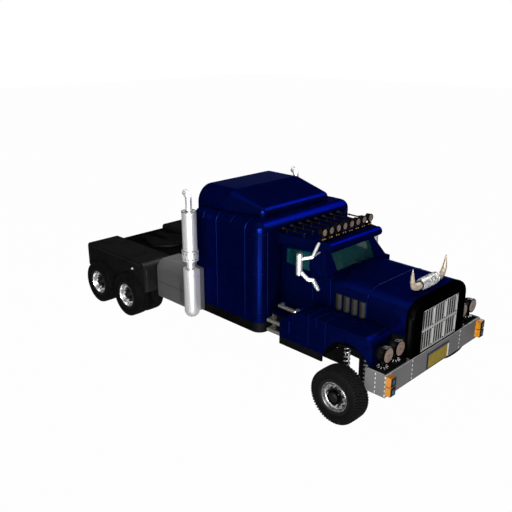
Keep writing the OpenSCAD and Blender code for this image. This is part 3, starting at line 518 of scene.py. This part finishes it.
WALL_R = 0.462
walls = Piece("splash_walls")
outline = [(-0.95, 0.89), (-0.95, 0.63), (-0.235, 0.63), (-0.295, 0.875), (-0.015, 0.855), (-0.010, 0.55),
           (0.40, 0.55)]
outline += [(ARCH_X + WALL_R * math.cos(math.radians(a)), ARCH_Z + WALL_R * math.sin(math.radians(a)))
            for a in range(30, 174, 6)]
for _, side in SIDES:
    walls.plate([(ax(x), z) for x, z in outline], side * 0.972, side * 0.980)
    y0, y1 = span(side, 0.905, 0.925)
    walls.box((ax(-1.895), y0, 0.70), (ax(-1.372), y1, 1.068))
walls.done("chassis", black, "black_paint")


# Seats: crowned cushions with sewn channels and piping, on a plain pedestal.

SEAT_Y = 0.3772
FLOOR_Z = 1.095
SQUARE_SIDE, SQUARE_EDGE, SQUARE_TOP = 0.34, 0.30, 0.42  # powers that square the round forms, 1 is round
PINCH, CHANNEL_WIDE, CHANNEL_DEEP = 0.05, 0.045, 0.07
PIPING_OUT = 1.015


def power(value, e):
    """A power that keeps the sign."""
    return math.copysign(abs(value) ** e, value)


def cushion(name, place, half, crown, channels):
    """A padded block: sides pull in between corners, faces crown, channels are sewn across its width."""
    piece = Piece(name)
    rows = []
    n_u, n_v = 40, 28
    for i in range(n_v + 1):
        v = math.pi * (i / n_v - 0.5)
        row = []
        for j in range(n_u):
            u = turn_of(j, n_u)
            px = power(math.cos(v), SQUARE_EDGE) * power(math.cos(u), SQUARE_SIDE)
            py = power(math.cos(v), SQUARE_EDGE) * power(math.sin(u), SQUARE_SIDE)
            pz = power(math.sin(v), SQUARE_TOP)
            pinch = 1 - PINCH * (1 - min(abs(px), abs(py)))
            dent = sum(math.exp(-((py - c) / CHANNEL_WIDE) ** 2) for c in channels)
            lift = crown * (1 - px * px) * (1 - py * py) * pz - CHANNEL_DEEP * dent * pz * (1 - px ** 6)
            row.append(place @ Vector((half[0] * px * pinch, half[1] * py * pinch, half[2] * (pz * 0.93 + lift))))
        rows.append(row)
    piece.grid(rows, close_v=True)
    obj = piece.done("chassis", leather, "seat", sharp=60, replaces=("seats",))


piping = Piece("seat_piping")
pedestals = Piece("seat_pedestals")
for name, side in SIDES:
    y = side * SEAT_Y
    lean = Matrix.Translation((ax(-1.67), y, FLOOR_Z + 0.30)) @ Matrix.Rotation(math.radians(-8), 4, "Y")
    upright = Matrix.Rotation(math.radians(90), 4, "Y")
    base_at = Matrix.Translation((ax(-1.45), y, FLOOR_Z + 0.265))
    back_at = lean @ Matrix.Translation((0.060, 0, 0.29)) @ upright
    cushion(f"seat_base_{name}", base_at, (0.25, 0.25, 0.062), 0.14, (-0.4, 0.4))
    cushion(f"seat_back_{name}", back_at, (0.285, 0.24, 0.056), 0.14, (-0.4, 0.4))
    cushion(f"seat_rest_{name}", lean @ Matrix.Translation((0.060, 0, 0.67)) @ upright, (0.105, 0.118, 0.036), 0.1,
            (0,))
    for place, half_x, half_y in ((base_at, 0.242, 0.242), (back_at, 0.277, 0.232)):
        loop = []
        for i in range(49):
            a = turn_of(i, 48)
            loop.append(place @ Vector((half_x * power(math.cos(a), SQUARE_SIDE) * PIPING_OUT,
                                        half_y * power(math.sin(a), SQUARE_SIDE) * PIPING_OUT, 0)))
        piping.tube(loop, 0.005, n=8)
    pedestals.box((ax(-1.655), y - 0.215, FLOOR_Z + 0.002), (ax(-1.265), y + 0.215, FLOOR_Z + 0.09), 0.012)
    pedestals.box((ax(-1.60), y - 0.16, FLOOR_Z + 0.085), (ax(-1.32), y + 0.16, FLOOR_Z + 0.212), 0.010)
    for s in (-1, 1):
        pedestals.tube([lean @ Vector((0.06, s * 0.05, 0.54)), lean @ Vector((0.06, s * 0.05, 0.60))], 0.008, n=10)
piping.done("chassis", stitch, "seat")
pedestals.done("chassis", black, "black_paint", replaces=("seats",))


# Pleated bellows between cab and sleeper.

def loop_points(x, half, low, high, r=0.05, n=6):
    """A round-cornered upright loop at one station."""
    points = []
    for cy, cz, start in ((half - r, high - r, 0), (r - half, high - r, 90), (r - half, low + r, 180),
                          (half - r, low + r, 270)):
        for k in range(n + 1):
            a = math.radians(start + 90 * k / n)
            points.append((x, cy + r * math.cos(a), cz + r * math.sin(a)))
    return points


bellows = Piece("cab_bellows")
PLEATS = 5
X0, X1 = ax(-1.9245), ax(-1.8155)
outer, inner = [], []
for i in range(2 * PLEATS + 1):
    x = X0 + (X1 - X0) * i / (2 * PLEATS)
    g = 0.0 if i % 2 else 0.022
    outer.append(loop_points(x, 0.408 - g, 1.102 + g, 2.238 - g))
    inner.append(loop_points(x, 0.374 - g, 1.136 + g, 2.204 - g))
bellows.grid(outer + inner[::-1], close_u=True, close_v=True)
bellows.done("chassis", boot_rubber, "boot", sharp=20, replaces=("cab_boot",))


# Panel seams: thin raised lines on the paint, in a lighter blue that is a painted highlight along each seam.

SEAM_R = 0.0045
SEAM_LIFT = 0.0012
SLEEPER_SIDE, CORNER_Y, CORNER_R, EAVE_Z = 1.240, 1.070, 0.170, 2.50
DOOR_SIDE = 0.820
FENDER_SIDE, FENDER_EDGE, FENDER_IN = 1.3395, 1.3375, 0.835
FENDER_TOP, NOSE_TOP = 1.4605, 1.457
HOOD_HALF, HOOD_STEPS = 0.81, 40
HOOD_TOP, HOOD_BACK, HOOD_FALL = 1.960, -0.745, 0.8


def fall(y, start, r):
    """Drop of a round shoulder of radius r that starts at a Y."""
    return 0 if y <= start else r - math.sqrt(max(0, r ** 2 - (y - start) ** 2))


def hood_line(x):
    """Points over the hood from side to side at one station."""
    top = HOOD_TOP - (x - HOOD_BACK) * math.tan(math.radians(HOOD_FALL))
    shoulder = []
    for i in range(HOOD_STEPS + 1):
        y = HOOD_HALF * i / HOOD_STEPS
        shoulder.append((y, top - max(fall(y, 0.45, 0.602), fall(y, 0.60, 0.21)) + SEAM_LIFT))
    half = [(0.811, z) for z in (1.48, 1.60, 1.72)] + shoulder[::-1]
    return [(ax(x), -y, z) for y, z in half] + [(ax(x), y, z) for y, z in reversed(half)][1:]


def seam(piece, points):
    piece.tube(points, SEAM_R, n=6)


seams = Piece("panel_seams")
for _, g in SIDES:
    # Sleeper: uprights that bend in under the roof, and lines round its front corners.
    for x, low in ((-3.345, 2.52), (-3.000, 0.90), (-2.640, 2.56), (-2.279, 0.90)):
        line = [(ax(x), g * SLEEPER_SIDE, low), (ax(x), g * SLEEPER_SIDE, EAVE_Z)]
        for k in range(1, 7):
            a = math.radians(15 * k)
            line.append((ax(x), g * (CORNER_Y + CORNER_R * math.cos(a)), EAVE_Z + CORNER_R * math.sin(a)))
        seam(seams, [p for p in line if p[2] >= low])
    bend = [math.radians(9 * k) for k in range(11)]
    for z in (2.47, 1.775, 1.065):
        seam(seams, [(ax(-2.095 + CORNER_R * math.sin(a)), g * (CORNER_Y + CORNER_R * math.cos(a)), z) for a in bend])
    seam(seams, [(ax(-1.925), g * 1.05, 1.0), (ax(-1.925), g * 1.05, EAVE_Z)])

    # Cab, front fenders and sleeper roof.
    seam(seams, [(ax(-0.748), g * DOOR_SIDE, 1.48), (ax(-0.748), g * DOOR_SIDE, 1.945)])
    for x, top, low in ((-0.755, FENDER_TOP, 0.95), (-0.600, FENDER_TOP, 1.29), (-0.418, FENDER_TOP, 1.02),
                        (0.340, NOSE_TOP, None)):
        line = [(ax(x), g * FENDER_IN, top), (ax(x), g * FENDER_EDGE, top)]
        if low:
            line += [(ax(x), g * FENDER_SIDE, 1.4585), (ax(x), g * FENDER_SIDE, low)]
        seam(seams, line)
    seam(seams, [(ax(-1.16), g * FENDER_SIDE, 1.24), (ax(-1.16), g * FENDER_SIDE, 1.03)])
    seam(seams, [(ax(-3.16), g * 1.0, 2.86), (ax(-3.16), g * 0.93, 2.955), (ax(-3.16), g * 0.80, 3.010)])
seam(seams, hood_line(-0.0495))
seams.done("chassis", seam_highlight_blue, "blue_paint")
for name, g in SIDES:
    line = Piece(f"door_seam_{name}")
    seam(line, [(ax(-1.115), g * DOOR_SIDE, 1.46), (ax(-1.115), g * DOOR_SIDE, 1.935)])
    line.done(f"door_{name}", seam_highlight_blue, "blue_paint")


# Exhaust: dark joints, a drilled collar, a line beside the canister; lines on the tank behind it.

STACK_X, STACK_Y = -3.51, 1.428
COLLAR_R, COLLAR_HOLES = 0.1545, 14
stack_dark = Piece("stack_joints")
for _, g in SIDES:
    x, y = ax(STACK_X), g * STACK_Y
    for z, r in ((1.562, 0.073), (1.722, 0.074), (1.911, 0.134), (2.642, 0.0595), (2.638, 0.1335)):
        stack_dark.ring((x, y, z), (0, 0, 1), r, 0.006)
    for row, z in enumerate((1.765, 1.868)):
        for i in range(COLLAR_HOLES):
            a = turn_of(i + 0.5 * row, COLLAR_HOLES)
            out = Vector((math.cos(a), math.sin(a), 0))
            stack_dark.dome((x + COLLAR_R * out.x, y + COLLAR_R * out.y, z), out, 0.013, 0.003)
    stack_dark.box((ax(-3.672), g * 1.30 - 0.004, 0.80), (ax(-3.664), g * 1.30 + 0.004, 1.50))
    stack_dark.box((ax(-4.054), g * 1.2505 - 0.003, 0.68), (ax(-4.046), g * 1.2505 + 0.003, 1.06))
    stack_dark.box((ax(-4.79), g * 1.2505 - 0.003, 0.907), (ax(-3.78), g * 1.2505 + 0.003, 0.914))
stack_dark.done("chassis", bead_black, "black_paint")


# Rear fenders: rows of rivets and one white fitting on each side.

REAR_FACE = 1.394
RIVET = (0.009, 0.004, 8)  # radius, height, sides
rivets = Piece("fender_rivets")
for _, g in SIDES:
    out = (0, g, 0)
    for i in range(36):
        rivets.dome((ax(-7.02 + 1.82 * i / 35), g * REAR_FACE, 1.165), out, *RIVET)
    for x in (-5.12, -6.078, -7.10):
        for i in range(6):
            rivets.dome((ax(x), g * REAR_FACE, 0.83 + 0.055 * i), out, *RIVET)
    for i in range(12):
        for y in (0.73, 1.33):
            rivets.dome((ax(-5.06), g * y, 0.64 + 0.04 * i), (1, 0, 0), *RIVET)
rivets.done("chassis", rivet_grey, "black_paint")
fitting = Piece("fender_fittings")
for _, g in SIDES:
    fitting.lathe([(0.024, -0.002), (0.024, 0.010), (0.016, 0.016), (0.014, 0.030), (0, 0.034)],
                  (ax(-5.448), g * REAR_FACE, 1.036), (0, g, 0), n=14)
fitting.done("chassis", white_trim, "chrome")


# Bumper: white dashes along its seams and a white lip along its top edges, both painted highlights; dark edge lines,
# plate and signal trim.

DASH_Z = [0.70 + 0.072 * i for i in range(5)]
DASH_HALF, DASH_LONG = 0.007, 0.036
BUMPER_SIDE = 1.409
# White dashes along the bumper's seams: painted highlights.
seam_highlight_dashes = Piece("bumper_seam_highlights")
for y in (-0.705, 0.725):
    for z in DASH_Z:
        seam_highlight_dashes.box((ax(0.755), y - DASH_HALF, z), (ax(0.760), y + DASH_HALF, z + DASH_LONG), 0.001)
for _, g in SIDES:
    y = g * BUMPER_SIDE
    for x in (0.582, 0.748):
        for z in DASH_Z:
            seam_highlight_dashes.box((ax(x - DASH_HALF), y - 0.003, z), (ax(x + DASH_HALF), y + 0.003, z + DASH_LONG), 0.001)
seam_highlight_dashes.done("chassis", white_trim, "grey_metal")
edge = Piece("bumper_edge")
edge.box((ax(0.722), -1.405, 1.0415), (ax(0.734), 1.405, 1.0455), 0.001)
for _, g in SIDES:
    y0, y1 = span(g, 1.374, 1.386)
    edge.box((ax(0.46), y0, 1.0415), (ax(0.734), y1, 1.0455), 0.001)
edge.done("chassis", bead_black, "black_paint")
# A white strip along the bumper's top edges: a painted highlight.
lip = Piece("bumper_top_highlight")
lip.box((ax(0.751), -1.407, 1.038), (ax(0.7585), 1.407, 1.0435), 0.002)
for _, g in SIDES:
    y0, y1 = span(g, 1.3995, 1.407)
    lip.box((ax(0.43), y0, 1.038), (ax(0.757), y1, 1.0435), 0.002)
lip.done("chassis", white_trim, "grey_metal")

trim = Piece("plate_frame")
y0, y1, z0, z1 = -0.270, 0.360, 0.700, 0.957
for lo, hi in (((y0 - 0.014, z1 - 0.022), (y1 + 0.004, z1 + 0.014)),
               ((y0 - 0.014, z0 - 0.006), (y0 + 0.016, z1 + 0.01)),
               ((y0, z0 - 0.006), (y1 + 0.004, z0 + 0.008))):
    trim.box((ax(0.757), lo[0], lo[1]), (ax(0.770), hi[0], hi[1]), 0.002)
trim.done("chassis", plate_blue, "plate_yellow")
rim = Piece("plate_edge")
rim.box((ax(0.757), y1 - 0.030, z0 + 0.004), (ax(0.7685), y1 + 0.004, z1 - 0.022), 0.002)
rim.done("chassis", white_trim, "plate_yellow")

rims = Piece("signal_rims")
glasses = Piece("signal_glasses")
for _, g in SIDES:
    for z in (0.722, 0.878):
        y0, y1 = span(g, 1.281, 1.402)
        rims.box((ax(0.840), y0, z + 0.003), (ax(0.852), y1, z + 0.137), 0.003)
        y0, y1 = span(g, 1.316, 1.372)
        glasses.box((ax(0.845), y0, z + 0.034), (ax(0.856), y1, z + 0.106), 0.004)
rims.done("chassis", signal_blue, "amber")
glasses.done("chassis", signal_teal, "lens")


# Headlamps: rims, ribs, bright streaks on top and white rays on the fluted feet, both painted highlights, lens pattern.

LAMP_Z, BACK_R = 1.275, 0.117

lamp_trim = Piece("lamp_trim")
lamp_ribs = Piece("lamp_ribs")
lamp_marks = Piece("lamp_marks")
lamp_foot_highlights = Piece("lamp_foot_highlights")
lamp_glints = Piece("lamp_glints")
FOOT_HIGHLIGHT_RAYS = 10
forward = (1, 0, 0)
for _, g in SIDES:
    for y in (g * 0.945, g * 1.250):
        lamp_ribs.lathe([(0.115, 0.64), (0.121, 0.645), (0.121, 0.676), (0.114, 0.680), (0.108, 0.676)],
                        (AXLE_X, y, LAMP_Z), forward, n=48)
        for x in (0.600, 0.620, 0.640):
            lamp_ribs.ring((ax(x), y, LAMP_Z), forward, 0.1155, 0.004)
        # Bright streaks on top of each shell, broken by the ribs: painted highlights.
        for a in (66, 80, 94, 108):
            rise, side = BACK_R * math.sin(math.radians(a)), BACK_R * math.cos(math.radians(a))
            for x0, x1 in ((0.588, 0.596), (0.605, 0.616), (0.625, 0.636), (0.648, 0.672)):
                r = 1.045 if x0 > 0.64 else 1
                lamp_glints.tube([(ax(x), y + side * r, LAMP_Z + rise * r) for x in (x0, x1)], 0.004, n=6)
        foot = (ax(0.587), y, 0)
        lamp_trim.lathe([(0.084, 1.057), (0.084, 1.066), (0.050, 1.074), (0.043, 1.100), (0.043, 1.135), (0.040, 1.14)],
                        foot, (0, 0, 1), n=14)
        # White rays round each foot: painted highlights on its flutes.
        for i in range(FOOT_HIGHLIGHT_RAYS):
            a = turn_of(i, FOOT_HIGHLIGHT_RAYS)
            out = Vector((math.cos(a), math.sin(a), 0))
            lamp_foot_highlights.tube([Vector(foot) + out * r + Vector((0, 0, z)) for r, z in ((0.084, 1.067), (0.050, 1.078))],
                           0.005, n=6)
        lamp_marks.ring((ax(0.6775), y, LAMP_Z), forward, 0.070, 0.0022)
        lamp_marks.lathe([(0.034, 0.676), (0.030, 0.681), (0.012, 0.684), (0, 0.685)], (AXLE_X, y, 1.262),
                         forward, n=20)
lamp_trim.done("chassis", gloss_black, "black_paint", sharp=25)
lamp_foot_highlights.done("chassis", white_trim, "chrome")
lamp_glints.done("chassis", chrome, "chrome")
lamp_ribs.done("chassis", gloss_black, "black_paint")
lamp_marks.done("chassis", lens_mark, "lens")


# Roof lamps and air horns: rims, gold beads along the bar, blobs on the horn rods.

roof_rims = Piece("roof_lamp_rims")
beads = Piece("roof_beads")
blobs = Piece("horn_ends")
LAMPS = 8
for i in range(LAMPS):
    y = -0.627 + 1.254 * i / (LAMPS - 1)
    roof_rims.lathe([(0.066, -1.075), (0.070, -1.070), (0.070, -1.055), (0.064, -1.051), (0.058, -1.056)],
                    (AXLE_X, y, 2.595), forward, n=32)
    for s in (-0.03, 0.03):
        beads.lathe([(0, -0.012), (0.010, -0.006), (0.010, 0.006), (0, 0.012)], (ax(-1.076), y + s, 2.478),
                    forward, n=10)
    y = -0.74 + 1.48 * i / (LAMPS - 1)
    for x, r in ((-1.385, 0.026), (-1.60, 0.020), (-1.862, 0.034)):
        blobs.lathe([(0, -r), (r * 0.7, -r * 0.7), (r, 0), (r * 0.7, r * 0.7), (0, r)], (ax(x), y, 2.525),
                    forward, n=14)
roof_rims.done("chassis", gloss_black, "black_paint")
beads.done("chassis", gold, "lens")
blobs.done("chassis", black, "black_paint")


# Grille bolts and dark strips between its slats, horn collars and mirror caps.

bolts = Piece("grille_bolts")
HALF, LOW, HIGH = 0.522, 1.082, 1.754
COLUMNS, ROWS, INSET = 3, 2, 0.024
for c in range(COLUMNS):
    for r in range(ROWS):
        ya, yb = -HALF + c * 2 * HALF / COLUMNS, -HALF + (c + 1) * 2 * HALF / COLUMNS
        za, zb = LOW + r * (HIGH - LOW) / ROWS, LOW + (r + 1) * (HIGH - LOW) / ROWS
        for y in (ya + INSET, yb - INSET):
            for z in (za + INSET, zb - INSET):
                bolts.dome((ax(0.752), y, z), forward, 0.013, 0.010, 12)
bolts.done("hood", bead_black, "black_paint")
strips = Piece("grille_strips")
SLATS = 9
for c in range(COLUMNS):
    for i in range(2, SLATS, 2):
        y = -HALF + (c + i / (SLATS + 1)) * 2 * HALF / COLUMNS
        strips.box((ax(0.735), y - 0.0095, LOW + 0.014), (ax(0.7435), y + 0.0095, HIGH - 0.014), 0.002)
strips.done("hood", bead_black, "black_paint")
collars = Piece("horn_collars")
for _, g in SIDES:
    collars.lathe([(0.050, 0.226), (0.068, 0.230), (0.070, 0.246), (0.062, 0.254), (0.050, 0.256)],
                  (ax(0.5), 0, 2.026), (0, g, 0), n=28)
collars.done("hood", bead_black, "chrome")
for name, g in SIDES:
    caps = Piece(f"mirror_caps_{name}")
    for z, up in ((1.946, -1), (2.299, 1)):
        caps.lathe([(0.0505, -0.012), (0.051, 0.0), (0.046, 0.008), (0.030, 0.013), (0, 0.014)],
                   (ax(-1.22), g * 1.05, z), (0, 0, up), n=32)
    caps.done(f"door_{name}", tube_chrome, "chrome")


# Stage: white world for camera, gloss and glass; soft lamps; a pale floor that keeps the shadow.

def white_for_view(tree):
    """1 for rays that see the background directly, in gloss or through glass."""
    path = tree.nodes.new("ShaderNodeLightPath")
    total = path.outputs["Is Camera Ray"]
    for name in ("Is Glossy Ray", "Is Transmission Ray"):
        add = tree.nodes.new("ShaderNodeMath")
        add.operation = "MAXIMUM"
        link(tree, total, add.inputs[0])
        link(tree, path.outputs[name], add.inputs[1])
        total = add.outputs[0]
    return total


world = bpy.data.worlds.new("studio")
world.use_nodes = True
bpy.context.scene.world = world
wt = world.node_tree
bg = wt.nodes["Background"]
bg.inputs["Color"].default_value = (1, 1, 1, 1)
level = wt.nodes.new("ShaderNodeMapRange")
level.inputs["To Min"].default_value = 0.05
level.inputs["To Max"].default_value = 1.0
link(wt, white_for_view(wt), level.inputs["Value"])
link(wt, level.outputs["Result"], bg.inputs["Strength"])


def lamp(name, place, aim, size, power, gloss_only=False):
    """A square soft lamp; a gloss-only one is a panel that shows in the paint and adds no other light."""
    data = bpy.data.lights.new(name, "AREA")
    data.size = size
    data.energy = power
    obj = bpy.data.objects.new(name, data)
    obj.location = place
    obj.rotation_euler = (Vector(aim) - Vector(place)).to_track_quat("-Z", "Y").to_euler()
    obj.visible_diffuse = not gloss_only
    bpy.context.scene.collection.objects.link(obj)


lamp("key", (12.2, -8.6, 0.9), (0.5, 0, 1.4), 1.6, 850)
lamp("head", (8.6, -8.8, 6.8), (0.5, 0, 1.2), 1.2, 330)
lamp("top", (-1, 0, 12), (0, 0, 1), 6, 450)
lamp("far_panel", (3.8, 7.2, 8.6), (2.4, 0, 2), 6, 3200, gloss_only=True)
lamp("spark", (8.3, -8.5, 6.0), (0.5, 0, 1.4), 1.4, 20000, gloss_only=True)
lamp("floor_panel", (4.4, -4.9, 0.03), (4.4, -4.9, 2), 3.2, 1050, gloss_only=True)

FLOOR = 60
FLOOR_DROP = 0.002  # keeps the floor clear of the tyres
FLOOR_GLOW = 0.985  # share of plain white in the floor, the rest takes the shadow
floor_mesh = bpy.data.meshes.new("floor")
corners = [(-FLOOR, -FLOOR, 0), (FLOOR, -FLOOR, 0), (FLOOR, FLOOR, 0), (-FLOOR, FLOOR, 0)]
floor_mesh.from_pydata(corners, [], [(0, 1, 2, 3)])
floor = bpy.data.objects.new("floor", floor_mesh)
bpy.context.scene.collection.objects.link(floor)
floor.location.z = -FLOOR_DROP
fm = bpy.data.materials.new("floor")
fm.use_nodes = True
ft = fm.node_tree
fb = ft.nodes["Principled BSDF"]
fb.inputs["Base Color"].default_value = (0.45, 0.45, 0.45, 1)
fb.inputs["Roughness"].default_value = 0.9
fb.inputs["Specular IOR Level"].default_value = 0.0
glow = ft.nodes.new("ShaderNodeEmission")
mix = ft.nodes.new("ShaderNodeMixShader")
share = ft.nodes.new("ShaderNodeMath")
share.operation = "MULTIPLY"
share.inputs[1].default_value = FLOOR_GLOW
link(ft, white_for_view(ft), share.inputs[0])
link(ft, share.outputs[0], mix.inputs["Fac"])
link(ft, fb.outputs[0], mix.inputs[1])
link(ft, glow.outputs[0], mix.inputs[2])
link(ft, mix.outputs[0], ft.nodes["Material Output"].inputs["Surface"])
floor_mesh.materials.append(fm)
